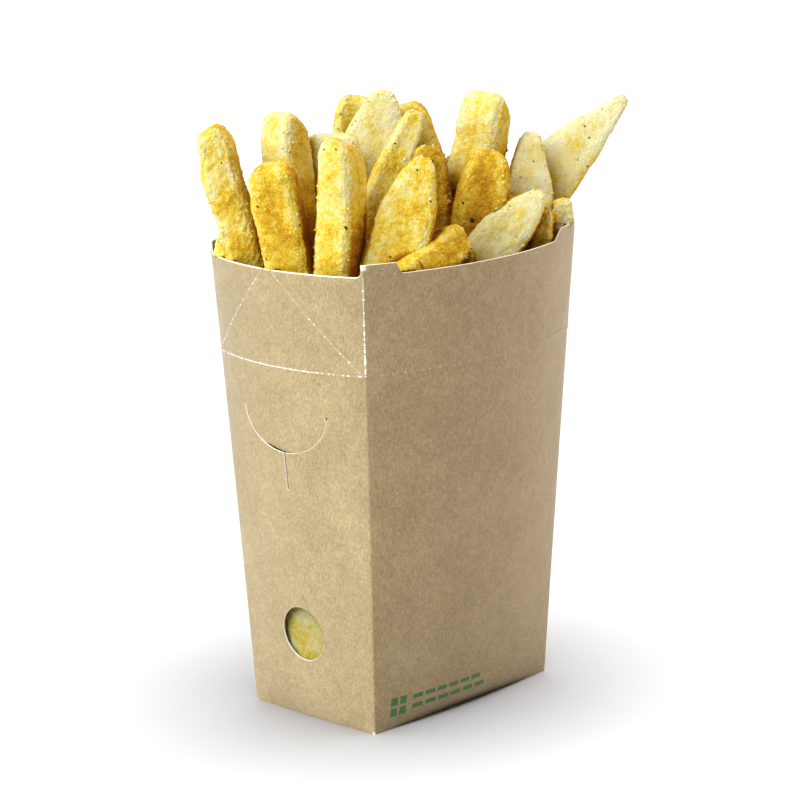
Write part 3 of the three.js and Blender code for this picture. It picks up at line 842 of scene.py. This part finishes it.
def box_between(name, low, high):
    """A box between two corners."""
    bpy.ops.mesh.primitive_cube_add(size=1, location=[(a + b) / 2 for a, b in zip(low, high)])
    piece = added(name)
    piece.scale = [b - a for a, b in zip(low, high)]
    settle(piece)
    return piece


def recess_cutter():
    """What is cut away between the ears of both wide panels."""
    half = panel_at(WIDE, EAR_HEIGHT)[1] / 2
    low = (EAR_WIDTHS[0] - half, -THROUGH / 2, RECESS_HEIGHT)
    high = (half - EAR_WIDTHS[1], THROUGH / 2, EAR_HEIGHT + HEADROOM)
    cutter = box_between("recess_cutter", low, high)
    edit(cutter)
    pick_all()
    bpy.ops.mesh.bisect(plane_co=(0, 0, EAR_HEIGHT), plane_no=(0, 0, 1))
    for turn, slope in zip((1, -1), EAR_SLOPES):
        pick(cutter, lambda v: near(v.co.z, RECESS_HEIGHT) and turn * v.co.x < 0)
        bpy.ops.transform.translate(value=(turn * slope, 0, 0))
    leave()
    return cutter


def narrow_top_cutter():
    """What is cut away above both narrow panels, with rounded corners beside the ears."""
    half = panel_at(NARROW, EAR_HEIGHT)[1] / 2 - BOARD - EAR_GAP
    high = (THROUGH / 2, half, EAR_HEIGHT + HEADROOM)
    cutter = box_between("narrow_top_cutter", (-THROUGH / 2, -half, PANEL_HEIGHT), high)
    edit(cutter, "EDGE")
    pick(cutter, lambda e: all(near(v.co.z, PANEL_HEIGHT) for v in e.verts)
         and near(e.verts[0].co.y, e.verts[1].co.y), "edges")
    bpy.ops.mesh.bevel(offset=CURL, segments=8, affect="EDGES")
    leave()
    return cutter


def window_cutter():
    bpy.ops.mesh.primitive_cylinder_add(
        vertices=ROUND_SIDES, radius=WINDOW_RADIUS, depth=THROUGH,
        location=(0, 0, WINDOW_HEIGHT), rotation=(0, math.pi / 2, 0))
    cutter = added("window_cutter")
    settle(cutter)
    return cutter


def tab_cutter():
    """A half-round band, KERF thick, that runs through both narrow panels."""
    bpy.ops.mesh.primitive_circle_add(vertices=ROUND_SIDES, radius=1, rotation=(0, math.pi / 2, 0))
    cutter = added("tab_cutter")
    settle(cutter)
    edit(cutter)
    pick(cutter, lambda v: v.co.z > 1e-4)
    bpy.ops.mesh.delete(type="VERT")
    pick_all()
    resize((1, TAB_HALF_WIDTH, TAB_DEPTH))
    bpy.ops.transform.translate(value=(-THROUGH / 2, 0, TAB_HEIGHT))
    extrude((THROUGH, 0, 0))
    leave()
    modify(cutter, "SOLIDIFY", thickness=KERF, offset=0)
    return cutter


def tail_cutter():
    top = TAB_HEIGHT - TAB_DEPTH
    half = TAIL_KERF / 2
    return box_between("tail_cutter", (-THROUGH / 2, -half, top - TAB_TAIL), (THROUGH / 2, half, top))


def ease_cut_edges(carton):
    """Crush the outer corner of every cut edge, most at the top of the narrow panels."""
    edit(carton, "EDGE")

    def is_cut(edge):
        return {face.material_index for face in edge.link_faces} == {SLOT_OUTSIDE, SLOT_CUT}

    def is_rim(edge):
        wide_half = panel_at(WIDE, PANEL_HEIGHT)[1] / 2
        return all(v.co.z > PANEL_HEIGHT - CUT_EASE and abs(v.co.x) > wide_half - BOARD for v in edge.verts)

    for ease, at_rim in ((RIM_EASE, True), (CUT_EASE, False)):
        pick(carton, lambda e: is_cut(e) and is_rim(e) == at_rim, "edges")
        bpy.ops.mesh.bevel(offset=ease, segments=1, affect="EDGES", material=SLOT_CUT)
    leave()


def push_tabs_in(carton):
    """Press each half-round tab in beside its lowest point, so that the cut gapes there."""
    edit(carton)
    for turn in (1, -1):
        low = Vector((turn * TAB_GAPE[0], TAB_GAPE[1]))

        def on_tab(v):
            across = v.co.y / TAB_HALF_WIDTH
            down = (TAB_HEIGHT - v.co.z) / TAB_DEPTH
            return -turn * v.co.x > WIDE["foot"] / 2 and down > 0 and across ** 2 + down ** 2 < 1

        for reach in TAB_PUSH_REACHES:
            pick(carton, lambda v: on_tab(v) and (Vector(v.co.yz) - low).length < reach * MM)
            bpy.ops.transform.translate(value=(turn * TAB_PUSH / len(TAB_PUSH_REACHES), 0, 0))
    leave()


def map_panels(carton):
    """UV map of the panels: share across and up, two further along for a wide panel."""
    layer = carton.data.uv_layers.new(name="panels")
    for face in carton.data.polygons:
        wide = abs(face.normal.y) > abs(face.normal.x)
        for loop in face.loop_indices:
            x, y, z = carton.data.vertices[carton.data.loops[loop].vertex_index].co
            if wide:
                share = -math.copysign(x, x * face.normal.y) / panel_at(WIDE, z)[1]
            else:
                share = -math.copysign(y, y * face.normal.x) / panel_at(NARROW, z)[1]
            layer.data[loop].uv = (share + 0.5 + 2 * wide, z / PANEL_HEIGHT)


def make_carton():
    score_rows = [SCORE_HEIGHT + step * SCORE_HALF_WIDTH for step in (-2, -1, 0, 1, 2)]
    heights = [*ROW_HEIGHTS, *score_rows, *TOP_ROW_HEIGHTS, EAR_HEIGHT]
    wall = foot_plate("kraft_carton", 0)
    bpy.ops.mesh.region_to_loop()
    raise_rows(heights)
    shape_rows(wall, heights, 0)
    press_level_score(wall)
    press_slanting_scores(wall)
    bpy.ops.mesh.select_mode(type="EDGE")
    upper = SCORE_HEIGHT + SCORE_HALF_WIDTH
    for share, above in ((1.0, False), (SHARP_FOLD, True)):
        pick(wall, lambda e: all(on_fold(v) for v in e.verts)
             and (min(v.co.z for v in e.verts) > upper) == above, "edges")
        bpy.ops.transform.edge_bevelweight(value=share)
    face_outwards()
    modify(wall, "BEVEL", width=FOLD_RADIUS, segments=4, limit_method="WEIGHT")
    for material in (KRAFT_OUTSIDE, KRAFT_INSIDE, CUT_EDGE):
        wall.data.materials.append(material)
    modify(wall, "SOLIDIFY", thickness=BOARD, offset=-1, material_offset=SLOT_INSIDE,
           material_offset_rim=SLOT_CUT)
    for cutter in carton_cutters():
        cut_with(wall, cutter)
    ease_cut_edges(wall)
    push_tabs_in(wall)
    map_panels(wall)
    only(wall)
    bpy.ops.object.shade_smooth_by_angle(angle=math.radians(SMOOTH_ANGLE))
    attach(wall, "root")
    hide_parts("carton")
    return wall


# ---- the heap -------------------------------------------------------------------------------

def crust_texture(name, kind, size, **settings):
    texture = bpy.data.textures.new(name, kind)
    texture.noise_scale = size
    for key, value in settings.items():
        setattr(texture, key, value)
    return texture


LUMPS = crust_texture("lumps", "CLOUDS", 9 * MM)
DENTS = crust_texture("dents", "CLOUDS", 3.2 * MM, noise_depth=1)
CRAGS = crust_texture("crags", "CLOUDS", 1.3 * MM, noise_depth=2, noise_type="HARD_NOISE")
GRANULES = crust_texture("granules", "VORONOI", 1.1 * MM)
SPECK_DENTS = crust_texture("speck_dents", "CLOUDS", 0.8)


def crisp(piece, crumble=1.0):
    """Make a smooth piece of potato uneven, dented, craggy and granular."""
    for texture, relief in ((LUMPS, LUMP_RELIEF), (DENTS, DENT_RELIEF)):
        modify(piece, "DISPLACE", texture=texture, strength=relief * MM, mid_level=0.5)
    for texture, relief in ((CRAGS, CRAG_RELIEF * crumble), (GRANULES, -GRANULE_RELIEF * crumble)):
        modify(piece, "DISPLACE", texture=texture, strength=relief * MM, mid_level=0.4,
               vertex_group="crust")


def narrowing(end, distance):
    """The share of its full width that a chip has at a distance from its tip."""
    if distance >= end["taper"]:
        return 1
    return end["tip"] + (1 - end["tip"]) * (distance / end["taper"]) ** NARROWING_POWER


def closing(end, distance):
    """How far a chip's rounded end has opened at a distance from its tip."""
    if distance >= end["round"]:
        return 1
    face = end["face"]
    return face + (1 - face) * math.sqrt(1 - (1 - distance / end["round"]) ** 2)


def section(name, hollow):
    """A flat grid of a chip's section, one unit wide, with its marks for the crust, in edit mode."""
    bpy.ops.mesh.primitive_grid_add(x_subdivisions=SECTION_CELLS, y_subdivisions=SECTION_CELLS, size=1)
    chip = added(name)
    chip.vertex_groups.new(name="crust")
    edit(chip)
    outward = SECTION_EDGE / SECTION_LINE
    pick(chip, lambda v: near(abs(v.co.x), SECTION_LINE, 1e-3))
    resize((outward, 1, 1))
    pick(chip, lambda v: near(abs(v.co.y), SECTION_LINE, 1e-3))
    resize((1, outward, 1))
    pick(chip, lambda v: abs(v.co.x) > SECTION_RIM and abs(v.co.y) > SECTION_RIM)
    resize((SECTION_CORNER, SECTION_CORNER, 1))
    pick(chip, lambda v: near(v.co.x, 0, 0.1) and abs(v.co.y) > SECTION_RIM)
    resize((1, 1 - 2 * hollow, 1))
    mark_section(chip)
    return chip


def mark_section(chip):
    """Mark the ridges, the flank that gets painted shade and how rough the crust is, before the section is
    drawn out.
    """
    mesh = bmesh.from_edit_mesh(chip.data)
    ridge = mesh.verts.layers.float.new("ridge")
    shaded_flank = mesh.verts.layers.float.new("shaded_flank")
    groups = mesh.verts.layers.deform.verify()
    for vertex in mesh.verts:
        x, y = abs(vertex.co.x), abs(vertex.co.y)
        vertex[ridge] = min(1.0, max(0.0, (min(x, y) - RIDGE_START) / RIDGE_REACH))
        # the flank on the right, seen from the broad face, is marked for painted shade
        vertex[shaded_flank] = 1.0 if vertex.co.x > SHADED_FLANK_EDGE and y < SHADED_FLANK_EDGE else 0.0
        vertex[groups][0] = SMOOTH_MIDDLE + (1 - SMOOTH_MIDDLE) * vertex[ridge]
    bmesh.update_edit_mesh(chip.data)


def draw_out(chip, distances, size, end, look, chance):
    """Extrude a section from the chip's foot up to its tip, ring by ring."""
    _, length, width, thick = size
    pick_all()
    resize((width * MM, thick * MM, 1))
    wide_before, deep_before, place = 1.0, 1.0, Vector((0, 0, 0))
    for distance in distances:
        share = narrowing(end, distance)
        opened = closing(end, distance)
        height = length - distance
        middle = math.sin(math.pi * height / length)
        wide = share * opened * (1 + look["belly"] * middle) * chance.uniform(*UNEVEN_WIDTH)
        deep = (THICKNESS_KEPT + (1 - THICKNESS_KEPT) * share) * opened * chance.uniform(*UNEVEN_THICKNESS)
        sway = look["bow"] * middle + chance.uniform(-WOBBLE, WOBBLE) * opened
        nod = chance.uniform(-WOBBLE, WOBBLE) * opened
        new_place = Vector((sway, nod, height)) * MM
        extrude(new_place - place)
        factors = (wide / wide_before, deep / deep_before, 1)
        resize(factors, new_place)
        wide_before, deep_before, place = wide, deep, new_place
    if look["twist"]:
        twist_chip(chip, length, look["twist"])
    if any(end["slant"]):
        slant_end(chip, length, end)


def twist_chip(chip, length, twist):
    """Turn a chip about its own line, more and more towards its tip."""
    for step in range(TURN_STEPS):
        low = length * (step + 0.5) / TURN_STEPS * MM
        pick(chip, lambda v: v.co.z > low)
        turn = math.radians(twist) / TURN_STEPS
        bpy.ops.transform.rotate(value=turn, orient_axis="Z", center_override=(0, 0, low))


def slant_end(chip, length, end):
    """Slope the end down across the chip and through it, less and less away from the tip."""
    tip = (0, 0, length * MM)
    rise, nod = (math.atan(slope) / SLANT_STEPS for slope in end["slant"])
    for step in range(SLANT_STEPS):
        low = (length - end["taper"] * (1 - step / SLANT_STEPS)) * MM
        pick(chip, lambda v: v.co.z > low)
        bpy.ops.transform.rotate(value=rise, orient_axis="Y", center_override=tip)
        bpy.ops.transform.rotate(value=-nod, orient_axis="X", center_override=tip)


def chip_rings(end, above):
    """Distances from the tip of a chip's rings, from its foot to its tip."""
    rings = [above + FIRST_RING]
    count = max(1, math.ceil((above - end["round"]) / RING_SPACING))
    for step in range(count):
        rings.append(above - step * (above - end["round"]) / count)
    rings += [share * end["round"] for share in TIP_RINGS]
    return sorted(set(rings), reverse=True)


def stand_chip(name, tip, up, out, size, kind_of_end, look, chance, levels, keep_out):
    """One chip with its end at tip, drawn out along up, its broad face towards out."""
    above, length, _, _ = size
    end = dict(zip(END_COLUMNS, ENDS[kind_of_end]))
    chip = section(name, look["hollow"])
    draw_out(chip, chip_rings(end, above), size, end, look, chance)
    face_outwards()
    out = (out - up * out.dot(up)).normalized()
    across = up.cross(out)
    foot = tip - up * length * MM
    turned = Matrix((across, -out, up)).transposed().to_4x4()
    chip.matrix_world = Matrix.Translation(foot) @ turned
    settle(chip)
    modify(chip, "SUBSURF", levels=levels, render_levels=levels)
    modify(chip, "BOOLEAN", object=keep_out, operation="DIFFERENCE", solver="EXACT")
    crisp(chip, end["crumble"])
    mark(chip, "fry", [look["fry"] + chance.uniform(*UNEVEN_FRY)] * len(chip.data.vertices))
    return chip


def keep_out_body():
    """The board and the room outside it, thick as a chip. Chips are trimmed to it below the rim."""
    heights = [*ROW_HEIGHTS[::2], PANEL_HEIGHT, EAR_HEIGHT]
    inset = BOARD + CHIP_CLEARANCE
    body = foot_plate("keep_out", inset)
    bpy.ops.mesh.region_to_loop()
    raise_rows(heights)
    shape_rows(body, heights, inset)
    pick(body, lambda f: f.normal.z ** 2 > 0.9, "faces")
    bpy.ops.mesh.delete(type="FACE")
    face_outwards()
    modify(body, "SOLIDIFY", thickness=KEPT_OUT, offset=1, use_even_offset=True)
    for cutter in (recess_cutter(), narrow_top_cutter()):
        cut_with(body, cutter)
    return body


def level_way(side):
    """The level direction towards a side, counted in degrees from +X towards +Y."""
    return Vector((math.cos(math.radians(side)), math.sin(math.radians(side)), 0))


def chip_line(chip):
    """Where a chip leaves the mouth, which way it stands, and how long it is above the mouth (mm)."""
    lean, side = math.radians(chip["lean"]), math.radians(chip["side"])
    up = Vector((math.sin(lean) * math.cos(side), math.sin(lean) * math.sin(side), math.cos(lean)))
    mouth = Vector((chip["x"] * MM, chip["y"] * MM, PANEL_HEIGHT))
    return mouth, up, chip["rise"] / up.z


def chip_from_row(name, row, chance, levels, keep_out):
    chip = {**PLAIN, **dict(zip(COLUMNS, row))}
    mouth, up, above = chip_line(chip)
    tip = mouth + up * above * MM
    size = (above, above + ROOT / MM, chip["width"], chip["thick"])
    out = level_way(chip["face"])
    return stand_chip(name, tip, up, out, size, chip["end"], chip, chance, levels, keep_out)


def finish_food(piece, material=CRUST):
    piece.data.materials.clear()
    piece.data.materials.append(material)
    only(piece)
    bpy.ops.object.shade_smooth()
    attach(piece, "root")
    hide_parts("fries")
    return piece


def make_chips(chance, keep_out):
    """All the standing chips, one piece for each group of rows."""
    groups = {}
    for kind, rows in ROWS_OF_CHIPS.items():
        levels = LOW_CHIP_LEVELS if kind == "chips_low" else CHIP_LEVELS
        chips = []
        for number, row in enumerate(rows):
            chips.append(chip_from_row(f"{kind}_{number}", row, chance, levels, keep_out))
        groups[kind] = finish_food(join(kind, chips))
    return groups


def make_window_chips(chance, keep_out):
    chips = []
    lean = math.radians(WINDOW_CHIP["lean"])
    half = panel_at(WIDE, WINDOW_HEIGHT)[1] / 2
    bulge = panel_at(NARROW, WINDOW_HEIGHT)[0]
    length = WINDOW_CHIP["length"]
    size = (length - WINDOW_CHIP["foot"], length, WINDOW_CHIP["width"], WINDOW_CHIP["thick"])
    look = {**PLAIN, **WINDOW_CHIP}
    back = BOARD + (WINDOW_CHIP["behind"] + WINDOW_CHIP["thick"] / 2) * MM
    for turn in (1, -1):
        out = Vector((-turn, 0, 0))
        up = Vector((0, turn * math.sin(lean), math.cos(lean)))
        middle = Vector((-turn * (half + bulge - back), turn * WINDOW_CHIP["aside"] * MM, WINDOW_HEIGHT))
        tip = middle + up * length / 2 * MM
        chips.append(stand_chip(f"window_chip_{turn}", tip, up, out, size, "round", look, chance,
                                CHIP_LEVELS, keep_out))
    return finish_food(join("window_chips", chips), SHADED_CRUST)


def make_core():
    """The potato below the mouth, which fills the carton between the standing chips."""
    core = foot_plate("potato_core", CORE_INSET)
    pick_all()
    bpy.ops.transform.translate(value=(0, 0, CORE_ROWS[0]))
    raise_rows(CORE_ROWS)
    shape_rows(core, CORE_ROWS, CORE_INSET)
    face_outwards()
    core.vertex_groups.new(name="crust").add(range(len(core.data.vertices)), 1.0, "REPLACE")
    modify(core, "SUBSURF", levels=1, render_levels=1, subdivision_type="SIMPLE")
    modify(core, "DISPLACE", texture=LUMPS, strength=CORE_RELIEF, mid_level=0.6)
    crisp(core)
    mark(core, "fry", [CORE_FRY] * len(core.data.vertices))
    return finish_food(core)


def surface_of(pieces):
    """One tree of the surfaces of all pieces, for finding what is near and what a line meets."""
    points = []
    faces = []
    for piece in pieces:
        start = len(points)
        points += [vertex.co for vertex in piece.data.vertices]
        faces += [[start + corner for corner in face.vertices] for face in piece.data.polygons]
    return BVHTree.FromPolygons(points, faces)


def mark_gap_shade(pieces, heap):
    """Mark how closely the rest of the heap stands before each point, 0 in the open and 1 in a gap, for the
    crust's painted shade in the gaps.
    """
    for piece in pieces:
        values = []
        for vertex in piece.data.vertices:
            shut = 0
            for reach in GAP_REACHES:
                gap = heap.find_nearest(vertex.co + vertex.normal * reach * MM)[3]
                shut += 1 - min(1, gap / (reach * MM))
            values.append(shut / len(GAP_REACHES))
        mark(piece, "gap_shade", values)


def stuck_on(master, place, normal, size, turn):
    """A copy of a small body, with a mesh of its own, stuck on a surface and turned on it."""
    piece = master.copy()
    piece.data = master.data.copy()
    bpy.context.collection.objects.link(piece)
    turned = normal.to_track_quat("Z", "Y").to_matrix().to_4x4()
    spun = Matrix.Rotation(turn, 4, "Z")
    piece.matrix_world = Matrix.Translation(place) @ turned @ spun @ Matrix.Diagonal((*size, 1))
    return piece


def make_crumbs(groups, chance):
    """Crumbs of crust along the ridges of the chips."""
    bpy.ops.mesh.primitive_ico_sphere_add(subdivisions=1, radius=1)
    master = added("crumb")
    crumbs = []
    pieces = list(groups.values())
    while len(crumbs) < CRUMBS:
        piece = chance.choice(pieces)
        number = chance.randrange(len(piece.data.vertices))
        vertex = piece.data.vertices[number]
        ridge = piece.data.attributes["ridge"].data[number].value
        if vertex.co.z < PANEL_HEIGHT - CRUMBS_BELOW or ridge < chance.uniform(*CRUMB_RIDGES):
            continue
        radius = chance.uniform(*CRUMB_SIZES) * MM
        size = [radius * chance.uniform(*CRUMB_STRETCH) for _ in range(3)]
        place = vertex.co - vertex.normal * radius * CRUMB_SUNK
        turn = chance.uniform(0, 2 * math.pi)
        crumbs.append(stuck_on(master, place, vertex.normal, size, turn))
    bpy.data.objects.remove(master)
    piece = join("crumbs", crumbs)
    settle(piece)
    for name, value in (("fry", CRUMB_FRY), ("gap_shade", 0.0)):
        mark(piece, name, [value] * len(piece.data.vertices))
    return finish_food(piece, CRUMB_CRUST)


def make_specks(heap, chance):
    """Scorched specks on the broad faces of some chips."""
    bpy.ops.mesh.primitive_ico_sphere_add(subdivisions=3, radius=0.5)
    master = added("speck")
    modify(master, "DISPLACE", texture=SPECK_DENTS, strength=SPECK_UNEVENNESS, mid_level=0.5)
    specks = []
    for kind, number, across, down, length, width in SPECKS:
        chip = dict(zip(COLUMNS, ROWS_OF_CHIPS[kind][number]))
        mouth, up, above = chip_line(chip)
        out = level_way(SPECK_SIDE)
        out = (out - up * out.dot(up)).normalized()
        place = mouth + up * (above - down) * MM + up.cross(out) * across * MM
        hit, normal, _, _ = heap.ray_cast(place + out * SPECK_REACH, -out)
        if hit is None:
            continue
        size = (length * MM, width * MM, SPECK_THICKNESS)
        specks.append(stuck_on(master, hit, normal, size, chance.uniform(*SPECK_TURNS)))
    bpy.data.objects.remove(master)
    piece = join("scorched_specks", specks)
    settle(piece)
    return finish_food(piece, SCORCHED)


# ---- the studio -----------------------------------------------------------------------------

CAMERA_AZIMUTH = -46.757
CAMERA_ELEVATION = 13.34
CAMERA_ROLL = -0.934
CAMERA_DISTANCE = 0.91305
CAMERA_TARGET = Vector((0, -0.000912, 0.094692))
CAMERA_LENS = 130.18
CAMERA_SENSOR = 36
FLOOR_SIZE = 16


def set_camera():
    azimuth, elevation = math.radians(CAMERA_AZIMUTH), math.radians(CAMERA_ELEVATION)
    back = Vector((
        math.sin(azimuth) * math.cos(elevation),
        -math.cos(azimuth) * math.cos(elevation),
        math.sin(elevation)))
    bpy.ops.object.camera_add(location=CAMERA_TARGET + back * CAMERA_DISTANCE)
    camera = bpy.context.object
    turned = (-back).to_track_quat("-Z", "Y").to_matrix()
    rolled = turned @ Matrix.Rotation(math.radians(CAMERA_ROLL), 3, "Z")
    camera.rotation_euler = rolled.to_euler()
    camera.data.lens = CAMERA_LENS
    camera.data.sensor_width = CAMERA_SENSOR
    camera.data.dof.use_dof = False
    bpy.context.scene.camera = camera


# The side that each light comes from and its height in degrees, its strength and its softness.
KEY_LIGHT = {"side": 176, "height": 38, "strength": 4.4, "softness": 50, "colour": (0.93, 1.02, 1.10)}
FILL_LIGHT = {"side": 338, "height": 42, "strength": 2.4, "softness": 40, "colour": (1, 0.87, 0.74)}
FLOOR_LIGHT = {"side": 30, "height": 89, "strength": 7.2, "softness": 48, "colour": (0.99, 1, 1.03)}
ROOM_LIGHT = 0.13
ROOM_COLOUR = (1.0, 0.89, 0.76, 1)
VIEW_GAMMA = 0.85              # below 1 for deeper, warmer half tones


def add_sun(name, light):
    side, height = math.radians(light["side"]), math.radians(light["height"])
    reach = math.cos(height)
    towards = Vector((math.cos(side) * reach, math.sin(side) * reach, math.sin(height)))
    bpy.ops.object.light_add(type="SUN", location=towards)
    sun = bpy.context.object
    sun.name = name
    sun.rotation_euler = towards.to_track_quat("Z", "Y").to_euler()
    sun.data.energy = light["strength"]
    sun.data.color = light["colour"]
    sun.data.angle = math.radians(light["softness"])
    return sun


def set_light(floor):
    """A soft light from the left and a weak one from the right, one on the floor, and a pale room."""
    key = add_sun("key_light", KEY_LIGHT)
    fill = add_sun("fill_light", FILL_LIGHT)
    above = add_sun("floor_light", FLOOR_LIGHT)
    for sun, state in ((key, "EXCLUDE"), (fill, "EXCLUDE"), (above, "INCLUDE")):
        lit = bpy.data.collections.new(sun.name + "_reach")
        lit.objects.link(floor)
        sun.light_linking.receiver_collection = lit
        lit.collection_objects[0].light_linking.link_state = state
    world = bpy.data.worlds.new("studio")
    world.use_nodes = True
    backdrop = world.node_tree.nodes["Background"]
    backdrop.inputs["Color"].default_value = ROOM_COLOUR
    backdrop.inputs["Strength"].default_value = ROOM_LIGHT
    scene = bpy.context.scene
    scene.world = world
    scene.view_settings.view_transform = "Standard"
    scene.view_settings.gamma = VIEW_GAMMA


def lay_floor():
    bpy.ops.mesh.primitive_plane_add(size=FLOOR_SIZE)
    floor = added("floor")
    floor.data.materials.append(floor_material())
    return floor


set_camera()
set_light(lay_floor())
chance = random.Random(SEED)
make_carton()
core = make_core()
keep_out = keep_out_body()
window_chips = make_window_chips(chance, keep_out)
groups = make_chips(chance, keep_out)
bpy.data.objects.remove(keep_out)
food = [core, window_chips, *groups.values()]
heap = surface_of(food)
mark_gap_shade(food, heap)
make_crumbs(groups, chance)
make_specks(heap, chance)

bpy.ops.object.select_all(action="DESELECT")
